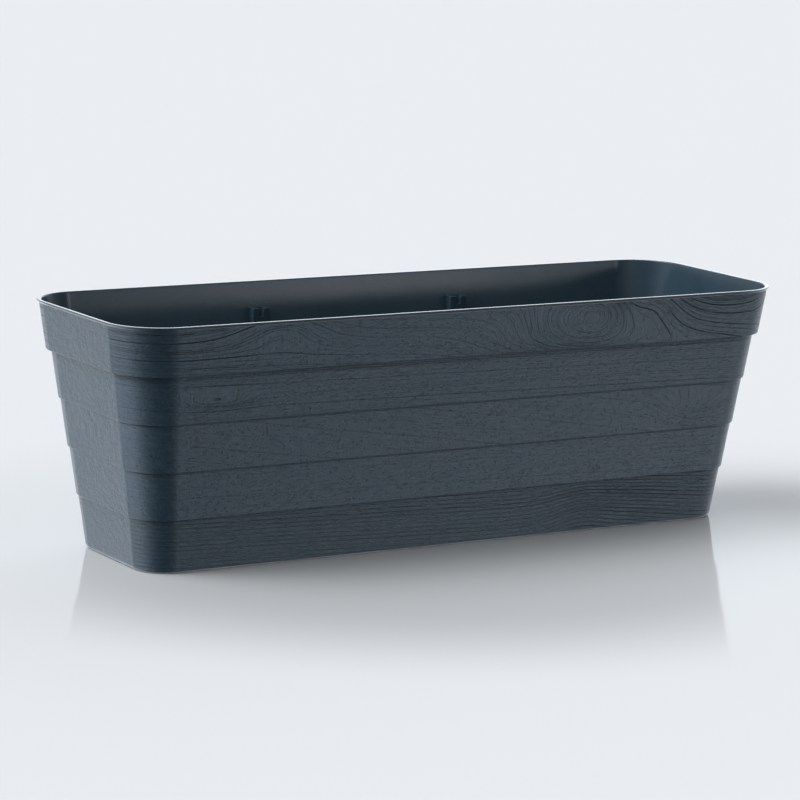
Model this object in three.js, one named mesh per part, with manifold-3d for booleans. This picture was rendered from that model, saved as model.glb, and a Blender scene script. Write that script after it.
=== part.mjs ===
// A window box planter. Its tapered, thin-walled box is moulded as five lapped boards, and two
// forked sockets on the inside of its back wall take the tongues of rail hangers. A perforated
// plate on legs lifts out of it, and four soft plugs close the drain holes in its floor.
// Millimetres, +Z up. X runs along the box and -Y is its front. The origin is under its middle.

import * as THREE from "three";
import { mergeVertices } from "three/addons/utils/BufferGeometryUtils.js";
import Module from "manifold-3d";

const wasm = await Module();
wasm.setup();

// ---------------------------------------------------------------- driving dimensions

// The box, over its rim bead
const boxLength = 580;
const boxWidth = 188;
const boxHeight = 188;
const wallThickness = 2.2;
const wallTaperDegrees = 7.6;
const rimCornerRadius = 40;
const footCornerRadius = 24;

// The lapped boards, from the rim down: the bottom board takes the height that is left
const topBoardHeight = 37.4;
const topBoardStep = 3.4;
const middleBoards = 3;
const middleBoardHeight = 36.6;
const middleBoardStep = 1.2;
const boardEdgeRound = 0.9;

// The rim bead
const beadReach = 1.2;
const beadHeight = 3;
const beadSlopeHeight = 0.4;
const rimRound = 1;

// The floor: a raised panel inside a ring that stands on the ground
const floorThickness = 2.5;
const footLift = 3;
const footRingWidth = 12;
const footRound = 3.5;
const gutterRound = 2;
const crossFeet = 3;
const crossFootWidth = 10;
const crossFootSpacing = 170;

// The drain holes and their plugs
const drainHoleRadius = 4.5;
const drainSpacingX = 288;
const drainSpacingY = 32;
const plugSeatRadius = 11.3;
const plugSeatDepth = 1.2;
const plugClearance = 0.3;
const plugHeadThickness = 2.4;
const plugHeadRound = 0.8;
const plugStemReach = 1.5;
const plugStalkRadius = 2.4;
const plugStalkHeight = 6.5;
const plugKnobRadius = 3.6;

// The hanger sockets
const socketSpacing = 180;
const socketDrop = 20;
const socketWidth = 14.5;
const socketStandOff = 9;
const socketPlateThickness = 2.6;
const socketCornerRound = 0.8;
const socketSlotWidth = 4;
const socketSlotDepth = 6.3;
const socketWebThickness = 1.8;
const socketWebInset = 1;
const socketShelfThickness = 2;

// The drainage plate
const legHeight = 28;
const legWidth = 12;
const legWebThickness = 2;
const legColumns = 4;
const legSpacingX = 144;
const legSpacingY = 66;
const plateThickness = 2;
const plateEdgeClearance = 2;
const plateRibDepth = 5;
const plateSlotLength = 22;
const plateSlotWidth = 4;
const plateSlotPitchX = 32;
const plateSlotPitchY = 22;
const plateSlotMargin = 8;
const fingerHoleRadius = 12;
const fingerHoleSpacing = 256;

// What rests on another piece stays this far off it
const seatGap = 0.3;

// The most of a step or a wall that a rounded edge on it takes
const roundShare = 0.9;

// How far a cut runs past the faces that it opens
const cutThrough = 1;

// How finely curves are cut
const cornerSteps = 12;
const roundSteps = 3;
const slotEndSteps = 2;
const plugSides = 16;

// ---------------------------------------------------------------- shared shape tools

// A closed three.js geometry as a solid that can be joined and cut.
function solidOf(geometry) {
  const bare = geometry.clone();
  bare.deleteAttribute("normal");
  bare.deleteAttribute("uv");
  const merged = mergeVertices(bare, 1e-4);
  return new wasm.Manifold(
    new wasm.Mesh({
      numProp: 3,
      vertProperties: new Float32Array(merged.attributes.position.array),
      triVerts: new Uint32Array(merged.index.array),
    }),
  );
}

function geometryOf(solid) {
  const mesh = solid.getMesh();
  const geometry = new THREE.BufferGeometry();
  geometry.setAttribute("position", new THREE.BufferAttribute(mesh.vertProperties, 3));
  geometry.setIndex(new THREE.BufferAttribute(mesh.triVerts, 1));
  const faceted = geometry.toNonIndexed();
  faceted.computeVertexNormals();
  return faceted;
}

// A block from its middle in plan, the height of its underside, and its size.
function block(x, y, bottom, length, width, height) {
  const geometry = new THREE.BoxGeometry(length, width, height);
  return solidOf(geometry.translate(x, y, bottom + height / 2));
}

// A quarter turn in even steps, as pairs of how far it has gone across and along, 0 to 1.
function quarterTurn() {
  return Array.from({ length: roundSteps + 1 }, (_, i) => {
    const angle = (Math.PI / 2) * (i / roundSteps);
    return { across: 1 - Math.cos(angle), along: Math.sin(angle) };
  });
}

// ---------------------------------------------------------------- the box's section

const boardEdges = [{ z: boxHeight - topBoardHeight, step: topBoardStep }];
for (let board = 1; board <= middleBoards; board++) {
  const z = boxHeight - topBoardHeight - board * middleBoardHeight;
  boardEdges.push({ z, step: middleBoardStep });
}
const taper = Math.tan(THREE.MathUtils.degToRad(wallTaperDegrees));
const allSteps = boardEdges.reduce((sum, edge) => sum + edge.step, 0);
const footInset = boxHeight * taper + allSteps;
const panelTop = footLift + floorThickness;

// How far the taper brings a wall in at height z, from where it is at the rim.
function taperInset(z) {
  return (boxHeight - z) * taper;
}

// How far the inside of the wall lies in from the rim's outline at height z. A ledge inside
// lies one wall thickness above the board edge outside.
function innerSetIn(z) {
  const above = boardEdges.filter((edge) => z < edge.z + wallThickness);
  return taperInset(z) + above.reduce((sum, edge) => sum + edge.step, 0);
}

// The box's outline in plan where the outer face is set in by inset, then depth behind that
// face. The corners tighten towards the foot, and stay concentric through the wall.
function planOutline({ inset, depth }) {
  const tightening = ((rimCornerRadius - footCornerRadius) * inset) / footInset;
  const radius = rimCornerRadius - tightening - depth;
  const straightX = boxLength / 2 - beadReach - inset - depth - radius;
  const straightY = boxWidth / 2 - beadReach - inset - depth - radius;
  const outline = [];
  for (const [signX, signY, start] of [[1, 1, 0], [-1, 1, 1], [-1, -1, 2], [1, -1, 3]]) {
    for (let i = 0; i <= cornerSteps; i++) {
      const angle = (Math.PI / 2) * (start + i / cornerSteps);
      const x = signX * straightX + radius * Math.cos(angle);
      const y = signY * straightY + radius * Math.sin(angle);
      outline.push([x, y]);
    }
  }
  return outline;
}

// A closed body lofted through sections of the box's outline, flat across its first and last.
// The sections run from the underside outwards, up, and back in over the top.
function loft(sections) {
  const rings = sections.map((section) => planOutline(section));
  const ringSize = rings[0].length;
  const positions = rings.flatMap((ring, i) => ring.flatMap(([x, y]) => [x, y, sections[i].z]));
  const indices = [];
  for (let ring = 0; ring + 1 < rings.length; ring++) {
    for (let i = 0; i < ringSize; i++) {
      const next = (i + 1) % ringSize;
      const [a, b] = [ring * ringSize + i, ring * ringSize + next];
      const [c, d] = [a + ringSize, b + ringSize];
      indices.push(a, b, c, b, d, c);
    }
  }
  const bottomMiddle = rings.length * ringSize;
  const topRing = bottomMiddle - ringSize;
  positions.push(0, 0, sections[0].z, 0, 0, sections[sections.length - 1].z);
  for (let i = 0; i < ringSize; i++) {
    const next = (i + 1) % ringSize;
    indices.push(bottomMiddle, next, i);
    indices.push(bottomMiddle + 1, topRing + i, topRing + next);
  }
  const geometry = new THREE.BufferGeometry();
  geometry.setAttribute("position", new THREE.Float32BufferAttribute(positions, 3));
  geometry.setIndex(indices);
  return solidOf(geometry);
}

// ---------------------------------------------------------------- the moulded shell

// The outside, from the edge of the raised panel, round the foot and up to the rim bead.
function outerSections() {
  const sections = [
    { inset: footInset, depth: footRingWidth, z: footLift },
    { inset: footInset, depth: footRingWidth, z: 0 },
  ];
  for (const { across, along } of quarterTurn()) {
    const z = footRound * across;
    const inset = taperInset(z) + allSteps;
    sections.push({ inset, depth: footRound * (1 - along), z });
  }
  let setIn = allSteps;
  for (const edge of [...boardEdges].reverse()) {
    sections.push({ inset: taperInset(edge.z) + setIn, depth: 0, z: edge.z });
    setIn -= edge.step;
    const round = Math.min(boardEdgeRound, edge.step * roundShare);
    for (const { across, along } of quarterTurn()) {
      const z = edge.z + round * across;
      sections.push({ inset: taperInset(z) + setIn, depth: round * (1 - along), z });
    }
  }
  const beadFoot = boxHeight - beadHeight;
  sections.push({ inset: taperInset(beadFoot), depth: 0, z: beadFoot });
  sections.push({ inset: 0, depth: -beadReach, z: beadFoot + beadSlopeHeight });
  for (const { across, along } of quarterTurn()) {
    const z = boxHeight - rimRound * (1 - along);
    sections.push({ inset: 0, depth: rimRound * across - beadReach, z });
  }
  return sections;
}

// The inside of the wall, from the rim down to just above the floor, with an offset off it.
function innerWallSections(offset) {
  const depth = wallThickness + offset;
  const sections = [];
  let setIn = 0;
  for (const edge of boardEdges) {
    const z = edge.z + wallThickness + offset;
    sections.push({ inset: taperInset(z) + setIn, depth, z });
    setIn += edge.step;
    sections.push({ inset: taperInset(z) + setIn, depth, z });
  }
  return sections;
}

function shellSections() {
  const sections = outerSections();
  const innerRound = Math.min(rimRound, (wallThickness * roundShare) / 2);
  for (const { across, along } of quarterTurn()) {
    const depth = wallThickness - innerRound * (1 - along);
    sections.push({ inset: 0, depth, z: boxHeight - innerRound * across });
  }
  sections.push(...innerWallSections(0));
  for (const { across, along } of quarterTurn()) {
    const z = floorThickness + gutterRound * (1 - along);
    const depth = wallThickness + gutterRound * across;
    sections.push({ inset: taperInset(z) + allSteps, depth, z });
  }
  const panelEdge = footRingWidth - floorThickness;
  sections.push({ inset: footInset, depth: panelEdge, z: floorThickness });
  sections.push({ inset: footInset, depth: panelEdge, z: panelTop });
  return sections;
}

// The four drain places, named by where they are.
const drains = [];
for (const [depthName, signY] of [["front", -1], ["back", 1]]) {
  for (const [sideName, signX] of [["left", -1], ["right", 1]]) {
    const x = (signX * drainSpacingX) / 2;
    const y = (signY * drainSpacingY) / 2;
    drains.push({ name: `${depthName}_${sideName}`, x, y });
  }
}

function disc(radius, bottom, height, x, y) {
  const geometry = new THREE.CylinderGeometry(radius, radius, height, plugSides);
  return solidOf(geometry.rotateX(Math.PI / 2).translate(x, y, bottom + height / 2));
}

function planterShell() {
  let shell = loft(shellSections());
  const footSpan = boxWidth - 2 * (beadReach + footInset + footRingWidth / 2);
  for (let i = 0; i < crossFeet; i++) {
    const x = crossFootSpacing * (i - (crossFeet - 1) / 2);
    shell = shell.add(block(x, 0, 0, crossFootWidth, footSpan, footLift + floorThickness / 2));
  }
  for (const { x, y } of drains) {
    const holeDepth = floorThickness + 2 * cutThrough;
    const seatCut = plugSeatDepth + cutThrough;
    shell = shell.subtract(disc(drainHoleRadius, footLift - cutThrough, holeDepth, x, y));
    shell = shell.subtract(disc(plugSeatRadius, panelTop - plugSeatDepth, seatCut, x, y));
  }
  return geometryOf(shell);
}

// ---------------------------------------------------------------- the hanger sockets

// The plate's front, seen from the front: a slot is open at its top, and its corners are round.
function socketFace(height) {
  const half = socketWidth / 2;
  const slotHalf = socketSlotWidth / 2;
  const slotFoot = height - socketSlotDepth;
  const round = socketCornerRound;
  const face = new THREE.Shape();
  face.moveTo(-half, 0);
  face.lineTo(half, 0);
  face.absarc(half - round, height - round, round, 0, Math.PI / 2);
  face.lineTo(slotHalf, height);
  face.absarc(slotHalf - round, slotFoot + round, round, 0, -Math.PI / 2, true);
  face.absarc(round - slotHalf, slotFoot + round, round, -Math.PI / 2, -Math.PI, true);
  face.lineTo(-slotHalf, height);
  face.absarc(round - half, height - round, round, Math.PI / 2, Math.PI);
  return face;
}

// The plate stands upright off the sloping wall, on a shelf and two webs that reach the wall.
function hangerSocket(x) {
  const top = boxHeight - socketDrop;
  const bottom = boardEdges[0].z + wallThickness + seatGap;
  const wallY = boxWidth / 2 - beadReach - innerSetIn(top) - wallThickness;
  const frontY = wallY - socketStandOff;
  const middleY = frontY + socketStandOff / 2;
  const plate = new THREE.ExtrudeGeometry(socketFace(top - bottom), {
    depth: socketPlateThickness,
    bevelEnabled: false,
    curveSegments: roundSteps,
  });
  plate.rotateX(Math.PI / 2).translate(x, frontY + socketPlateThickness, bottom);
  let socket = solidOf(plate);
  const shelf = block(x, middleY, bottom, socketWidth, socketStandOff, socketShelfThickness);
  socket = socket.add(shelf);
  for (const side of [-1, 1]) {
    const webX = x + side * (socketWidth / 2 - socketWebInset - socketWebThickness / 2);
    const webHeight = top - bottom;
    socket = socket.add(
      block(webX, middleY, bottom, socketWebThickness, socketStandOff, webHeight),
    );
  }
  const inside = innerWallSections(seatGap).reverse();
  const rimDepth = wallThickness + seatGap;
  inside.unshift({ inset: footInset, depth: rimDepth, z: 0 });
  inside.push({ inset: 0, depth: rimDepth, z: boxHeight });
  return geometryOf(socket.intersect(loft(inside)));
}

// ---------------------------------------------------------------- the drainage plate

const legFoot = panelTop + seatGap;
const plateBottom = legFoot + legHeight;
const plateTop = plateBottom + plateThickness;
const plateInset = innerSetIn(plateBottom);
const plateDepth = wallThickness + plateEdgeClearance;
const plateHalfLength = boxLength / 2 - beadReach - plateInset - plateDepth;
const plateHalfWidth = boxWidth / 2 - beadReach - plateInset - plateDepth;

// The sheet, whose edge leans out as the walls do.
function plateSheet() {
  return loft([
    { inset: plateInset, depth: plateDepth, z: plateBottom },
    { inset: plateInset - plateThickness * taper, depth: plateDepth, z: plateTop },
  ]);
}

// A row of evenly spaced places about 0, as many as fit between -reach and reach.
function evenPlaces(pitch, reach) {
  const eachSide = Math.floor(reach / pitch);
  return Array.from({ length: 2 * eachSide + 1 }, (_, i) => (i - eachSide) * pitch);
}

// Drainage slots in rows along the plate, left out where a finger hole lies.
function plateSlots() {
  const end = plateSlotWidth / 2;
  const straight = plateSlotLength / 2 - end;
  const reachX = plateHalfLength - plateSlotMargin - plateSlotLength / 2;
  const reachY = plateHalfWidth - plateSlotMargin - end;
  const slots = [];
  for (const y of evenPlaces(plateSlotPitchY, reachY)) {
    for (const x of evenPlaces(plateSlotPitchX, reachX)) {
      const fromHole = Math.abs(Math.abs(x) - fingerHoleSpacing / 2);
      if (y === 0 && fromHole < fingerHoleRadius + plateSlotLength / 2) continue;
      const slot = new THREE.Shape();
      slot.absarc(x + straight, y, end, -Math.PI / 2, Math.PI / 2);
      slot.absarc(x - straight, y, end, Math.PI / 2, (3 * Math.PI) / 2);
      slots.push(slot);
    }
  }
  const depth = plateThickness + 2 * cutThrough;
  const options = { depth, bevelEnabled: false, curveSegments: slotEndSteps };
  const geometry = new THREE.ExtrudeGeometry(slots, options);
  return solidOf(geometry.translate(0, 0, plateBottom - cutThrough));
}

// A leg of crossed webs, which runs up into the sheet.
function plateLeg(x, y) {
  const height = legHeight + plateThickness / 2;
  const along = block(x, y, legFoot, legWidth, legWebThickness, height);
  return along.add(block(x, y, legFoot, legWebThickness, legWidth, height));
}

function drainagePlate() {
  let plate = plateSheet().subtract(plateSlots());
  for (const x of [-fingerHoleSpacing / 2, fingerHoleSpacing / 2]) {
    const cutDepth = plateThickness + 2 * cutThrough;
    plate = plate.subtract(disc(fingerHoleRadius, plateBottom - cutThrough, cutDepth, x, 0));
  }
  const ribBottom = plateBottom - plateRibDepth;
  const ribLength = 2 * (plateHalfLength - plateSlotMargin);
  for (const y of [-legSpacingY / 2, legSpacingY / 2]) {
    const ribHeight = plateRibDepth + plateThickness / 2;
    plate = plate.add(block(0, y, ribBottom, ribLength, legWebThickness, ribHeight));
    for (let column = 0; column < legColumns; column++) {
      plate = plate.add(plateLeg(legSpacingX * (column - (legColumns - 1) / 2), y));
    }
  }
  return geometryOf(plate);
}

// ---------------------------------------------------------------- the drain plugs

// One turned profile: a stem in the hole, a round head in its seat, and a stalk with a knob.
function drainPlug() {
  const stemRadius = drainHoleRadius - plugClearance;
  const headRadius = plugSeatRadius - plugClearance;
  const headBottom = panelTop - plugSeatDepth + seatGap;
  const headTop = headBottom + plugHeadThickness;
  const stemBottom = footLift - plugStemReach;
  const knobZ = headTop + plugStalkHeight;
  const profile = new THREE.Path();
  profile.moveTo(0, stemBottom);
  profile.lineTo(stemRadius - plugHeadRound, stemBottom);
  profile.lineTo(stemRadius, stemBottom + plugHeadRound);
  profile.lineTo(stemRadius, headBottom);
  profile.lineTo(headRadius, headBottom);
  profile.absarc(headRadius - plugHeadRound, headTop - plugHeadRound, plugHeadRound, 0, Math.PI / 2);
  profile.lineTo(plugStalkRadius, headTop + plugHeadRound);
  const knobStart = -Math.acos(plugStalkRadius / plugKnobRadius);
  profile.absarc(0, knobZ, plugKnobRadius, knobStart, Math.PI / 2);
  const points = profile.getPoints(roundSteps);
  points[points.length - 1].x = 0;
  return new THREE.LatheGeometry(points, plugSides).rotateX(Math.PI / 2);
}

// ---------------------------------------------------------------- the assembly

const shellMaterial = new THREE.MeshStandardMaterial({
  color: 0x3c4850,
  roughness: 0.5,
  metalness: 0,
});
const plateMaterial = new THREE.MeshStandardMaterial({
  color: 0x24282b,
  roughness: 0.6,
  metalness: 0,
});
const plugMaterial = new THREE.MeshStandardMaterial({
  color: 0x17191a,
  roughness: 0.8,
  metalness: 0,
});

function part(name, geometry, material) {
  const mesh = new THREE.Mesh(geometry, material);
  mesh.name = name;
  return mesh;
}

const group = new THREE.Group();
group.add(part("planter_shell", planterShell(), shellMaterial));
group.add(part("hanger_socket_left", hangerSocket(-socketSpacing / 2), shellMaterial));
group.add(part("hanger_socket_right", hangerSocket(socketSpacing / 2), shellMaterial));
group.add(part("drainage_plate", drainagePlate(), plateMaterial));
for (const { name, x, y } of drains) {
  const plug = part(`drain_plug_${name}`, drainPlug(), plugMaterial);
  plug.position.set(x, y, 0);
  group.add(plug);
}

export default group;
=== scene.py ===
"""A window box planter of dark blue-grey plastic, moulded as five lapped boards of wood.

Metres, +Z up. X runs along the box and -Y is its front. The shell, the hanger sockets, the
drainage plate and the drain plugs are modelled here with their rounded edges, each in the place
of the plainer solid that the frame holds. The wood's pattern and the plastic's skin are in the
materials.
"""

import math

import bmesh
import bpy
from mathutils import Matrix, Vector


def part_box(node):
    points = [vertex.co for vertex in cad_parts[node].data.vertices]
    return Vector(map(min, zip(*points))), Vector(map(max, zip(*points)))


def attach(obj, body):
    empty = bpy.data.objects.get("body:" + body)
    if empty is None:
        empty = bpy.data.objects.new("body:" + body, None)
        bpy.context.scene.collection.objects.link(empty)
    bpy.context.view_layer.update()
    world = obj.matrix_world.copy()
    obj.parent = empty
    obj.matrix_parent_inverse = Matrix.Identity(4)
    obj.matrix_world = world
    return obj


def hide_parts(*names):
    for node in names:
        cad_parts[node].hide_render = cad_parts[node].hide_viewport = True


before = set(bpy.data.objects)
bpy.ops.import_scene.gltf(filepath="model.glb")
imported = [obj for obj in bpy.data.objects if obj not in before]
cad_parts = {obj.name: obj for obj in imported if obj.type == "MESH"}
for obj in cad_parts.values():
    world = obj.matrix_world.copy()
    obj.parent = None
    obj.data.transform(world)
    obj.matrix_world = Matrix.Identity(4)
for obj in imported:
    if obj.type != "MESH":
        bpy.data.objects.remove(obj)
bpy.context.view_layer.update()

# ---------------------------------------------------------------- sizes

MM = 0.001
shell_low, shell_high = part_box("planter_shell")
LENGTH, WIDTH, HEIGHT = shell_high - shell_low

# The tapered wall and its corners
WALL = 2.2 * MM
TAPER = math.tan(math.radians(7.6))
RIM_CORNER = 40 * MM
FOOT_CORNER = 24 * MM
CORNER_STEPS = 28

# The lower edges of the lapped boards, from the rim down: height, and the step in below it
LAPS = [
    (150.6 * MM, 3.4 * MM),
    (114.0 * MM, 1.2 * MM),
    (77.4 * MM, 1.2 * MM),
    (40.8 * MM, 1.2 * MM),
]
LAP_ROUND = 0.9 * MM
LAP_FILLET = 0.25 * MM
ALL_STEPS = sum(step for height, step in LAPS)
FOOT_INSET = HEIGHT * TAPER + ALL_STEPS

# The rim bead: how far it stands out, and the heights below the top where it begins and is full
BEAD_REACH = 1.2 * MM
BEAD_START = 2.4 * MM
BEAD_FULL = 0.8 * MM
BEAD_HOLLOW = 0.25 * MM
RIM_ROUND = 0.4 * MM
INNER_RIM_ROUND = 1 * MM

# The floor, its foot ring and the feet across it
FLOOR = 2.5 * MM
FOOT_LIFT = 3 * MM
FOOT_RING = 12 * MM
FOOT_ROUND = 3.5 * MM
GUTTER_ROUND = 2 * MM
PANEL_TOP = FOOT_LIFT + FLOOR
CROSS_FOOT_WIDTH = 10 * MM
CROSS_FOOT_SPACING = 170 * MM
CROSS_FEET = 3
DRAIN_RADIUS = 4.5 * MM
DRAIN_X = 144 * MM
DRAIN_Y = 16 * MM
PLUG_SEAT_RADIUS = 11.3 * MM
PLUG_SEAT_DEPTH = 1.2 * MM

# The hanger sockets, and how far their webs run into the wall that they are moulded on
SOCKET_PLATE = 2.6 * MM
SOCKET_SLOT_WIDTH = 4 * MM
SOCKET_SLOT_DEPTH = 6.3 * MM
SOCKET_WEB = 1.8 * MM
SOCKET_WEB_INSET = 1 * MM
SOCKET_SHELF = 2 * MM
SOCKET_ROOT = 0.8 * MM
SOCKET_ROUND = 0.45 * MM

# The drainage plate
plate_low, plate_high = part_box("drainage_plate")
PLATE_FOOT = plate_low.z
PLATE_BOTTOM = PLATE_FOOT + 28 * MM
PLATE_TOP = plate_high.z
PLATE_CLEARANCE = 2 * MM
SLOT_LENGTH = 22 * MM
SLOT_WIDTH = 4 * MM
SLOT_PITCH_X = 32 * MM
SLOT_PITCH_Y = 22 * MM
SLOT_COLUMNS = 15
SLOT_ROWS = 5
FINGER_HOLE_X = 128 * MM
FINGER_HOLE_RADIUS = 12 * MM
RIB_Y = 33 * MM
RIB_DEPTH = 5 * MM
RIB_WALL = 2 * MM
RIB_END_GAP = 8 * MM
LEG_WIDTH = 12 * MM
LEG_PLACES = [-216 * MM, -72 * MM, 72 * MM, 216 * MM]

# How finely rounds are cut, and how sharp an edge stays sharp when it is shaded
ROUND_STEPS = 4
FILLET_STEPS = 2
PLUG_STEPS = 40
HOLE_STEPS = 32
SLOT_STEPS = 18
FLOOR_STEPS = 96
SHARP_ANGLE = math.radians(38)
FLAT_WEIGHT = 80

# Points closer than this are the same point, and an edge shorter than the next is none
TOUCHING = 1e-6
NO_LENGTH = 1e-7

# ---------------------------------------------------------------- camera

CAMERA_PLACE = Vector((-1.37527, -2.25768, 0.57841))
VIEW_AZIMUTH = math.radians(-31.162)
VIEW_ELEVATION = math.radians(10.207)
VIEW_ROLL = math.radians(1.569)
LENS_MM = 156.12


def make_camera():
    data = bpy.data.cameras.new("view")
    data.lens = LENS_MM
    camera = bpy.data.objects.new("view", data)
    bpy.context.scene.collection.objects.link(camera)
    ahead = Vector((
        -math.sin(VIEW_AZIMUTH) * math.cos(VIEW_ELEVATION),
        math.cos(VIEW_AZIMUTH) * math.cos(VIEW_ELEVATION),
        -math.sin(VIEW_ELEVATION),
    ))
    turn = ahead.to_track_quat("-Z", "Y").to_matrix() @ Matrix.Rotation(VIEW_ROLL, 3, "Z")
    camera.matrix_world = Matrix.Translation(CAMERA_PLACE) @ turn.to_4x4()
    bpy.context.scene.camera = camera


# ---------------------------------------------------------------- mesh tools


def new_piece(name, bm):
    """A bmesh as an object in the scene, with its faces pointing out."""
    bmesh.ops.recalc_face_normals(bm, faces=bm.faces)
    mesh = bpy.data.meshes.new(name)
    bm.to_mesh(mesh)
    bm.free()
    piece = bpy.data.objects.new(name, mesh)
    bpy.context.scene.collection.objects.link(piece)
    return piece


def verts_of(made):
    return [item for item in made["geom"] if isinstance(item, bmesh.types.BMVert)]


def extrude_ring(bm, ring):
    """Extrudes a closed ring of edges in place. Returns the new ring, its vertices, the faces."""
    made = bmesh.ops.extrude_edge_only(bm, edges=ring)
    verts = verts_of(made)
    fresh = set(verts)
    edges = {edge for vert in verts for edge in vert.link_edges if edge.other_vert(vert) in fresh}
    faces = {face for edge in edges for face in edge.link_faces}
    return list(edges), verts, faces


def block(bm, low, high):
    """A box between two corners. Returns its faces."""
    verts = bmesh.ops.create_cube(bm, size=1)["verts"]
    size = high - low
    middle = (high + low) / 2
    bmesh.ops.scale(bm, vec=size, verts=verts)
    bmesh.ops.translate(bm, vec=middle, verts=verts)
    return list({face for vert in verts for face in vert.link_faces})


def round_edges(bm, edges, radius):
    bmesh.ops.bevel(
        bm, geom=edges, offset=radius, offset_type="OFFSET", segments=FILLET_STEPS,
        profile=0.5, affect="EDGES", material=-1, clamp_overlap=True,
    )


def combine(piece, others, operation):
    """Joins other pieces to a piece, or cuts them out of it, and deletes them."""
    for other in others:
        cut = piece.modifiers.new(other.name, "BOOLEAN")
        cut.object = other
        cut.operation = operation
        cut.solver = "EXACT"
    bake(piece)
    for other in others:
        bpy.data.objects.remove(other)


def bake(piece):
    """Applies a piece's modifiers to its mesh."""
    graph = bpy.context.evaluated_depsgraph_get()
    mesh = bpy.data.meshes.new_from_object(piece.evaluated_get(graph))
    piece.modifiers.clear()
    piece.data = mesh


def smooth(piece):
    """Smooth shading that keeps flats flat beside their rounds."""
    piece.data.shade_smooth()
    piece.data.set_sharp_from_angle(angle=SHARP_ANGLE)
    weighted = piece.modifiers.new("even_flats", "WEIGHTED_NORMAL")
    weighted.keep_sharp = True
    weighted.weight = FLAT_WEIGHT


def dress(piece, node, body, slot, *materials):
    """Puts a piece in its node's place, on its body, with its materials."""
    for material in materials:
        piece.data.materials.append(material)
    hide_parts(node)
    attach(piece, body)


# ---------------------------------------------------------------- the box's outline


class Outline:
    """The box's outline in plan at a height: set in from the rim's, then depth behind that."""

    def __init__(self, inset, depth, z):
        tightening = (RIM_CORNER - FOOT_CORNER) * inset / FOOT_INSET
        self.radius = RIM_CORNER - tightening - depth
        self.straight_x = LENGTH / 2 - BEAD_REACH - inset - depth - self.radius
        self.straight_y = WIDTH / 2 - BEAD_REACH - inset - depth - self.radius
        self.z = z

    def fit(self, verts, old):
        """Moves a ring's vertices here from the outline that they lie on."""
        for vert in verts:
            across = (abs(vert.co.x) - old.straight_x) / old.radius
            along = (abs(vert.co.y) - old.straight_y) / old.radius
            x = self.straight_x + across * self.radius
            y = self.straight_y + along * self.radius
            vert.co = (math.copysign(x, vert.co.x), math.copysign(y, vert.co.y), self.z)


def taper_inset(z):
    """How far the taper brings the wall in at a height, from where it is at the rim."""
    return (HEIGHT - z) * TAPER


def first_ring(bm, outline):
    """The edges of a rounded rectangle: a flat square with its corners beveled."""
    corners = bmesh.ops.create_grid(bm, x_segments=1, y_segments=1, size=0.5)["verts"]
    length = 2 * (outline.straight_x + outline.radius)
    width = 2 * (outline.straight_y + outline.radius)
    bmesh.ops.scale(bm, vec=(length, width, 1), verts=corners)
    bmesh.ops.translate(bm, vec=(0, 0, outline.z), verts=corners)
    bmesh.ops.bevel(
        bm, geom=corners, offset=outline.radius, offset_type="OFFSET", segments=CORNER_STEPS,
        profile=0.5, affect="VERTICES", material=-1,
    )
    bmesh.ops.delete(bm, geom=list(bm.faces), context="FACES_ONLY")
    return list(bm.edges)


def quarter_turn(steps=ROUND_STEPS):
    """A quarter turn in even steps, as pairs of how far it has gone across and along."""
    for i in range(steps + 1):
        angle = math.pi / 2 * i / steps
        yield 1 - math.cos(angle), math.sin(angle)


# ---------------------------------------------------------------- the moulded shell


def outer_wall():
    """The outside from the foot ring's inner edge up to the rim bead: outlines, board by board."""
    rows = [
        (Outline(FOOT_INSET, FOOT_RING, FOOT_LIFT), 0),
        (Outline(FOOT_INSET, FOOT_RING, 0), 0),
    ]
    board = len(LAPS) + 1
    for across, along in quarter_turn():
        z = FOOT_ROUND * across
        rows.append((Outline(taper_inset(z) + ALL_STEPS, FOOT_ROUND * (1 - along), z), board))
    set_in = ALL_STEPS
    for height, step in reversed(LAPS):
        for across, along in quarter_turn(FILLET_STEPS):
            z = height - LAP_FILLET * (1 - along)
            outline = Outline(taper_inset(z) + set_in, -LAP_FILLET * across, z)
            rows.append((outline, board))
        set_in -= step
        board -= 1
        for across, along in quarter_turn():
            z = height + LAP_ROUND * across
            rows.append((Outline(taper_inset(z) + set_in, LAP_ROUND * (1 - along), z), board))
    bead_foot = HEIGHT - BEAD_START
    bead_full = HEIGHT - BEAD_FULL
    rows.append((Outline(taper_inset(bead_foot), 0, bead_foot), board))
    rows.append((Outline(0, -BEAD_HOLLOW, (bead_foot + bead_full) / 2), 0))
    rows.append((Outline(0, -BEAD_REACH, bead_full), 0))
    for across, along in quarter_turn():
        z = HEIGHT - RIM_ROUND * (1 - along)
        rows.append((Outline(0, RIM_ROUND * across - BEAD_REACH, z), 0))
    return rows


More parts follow.
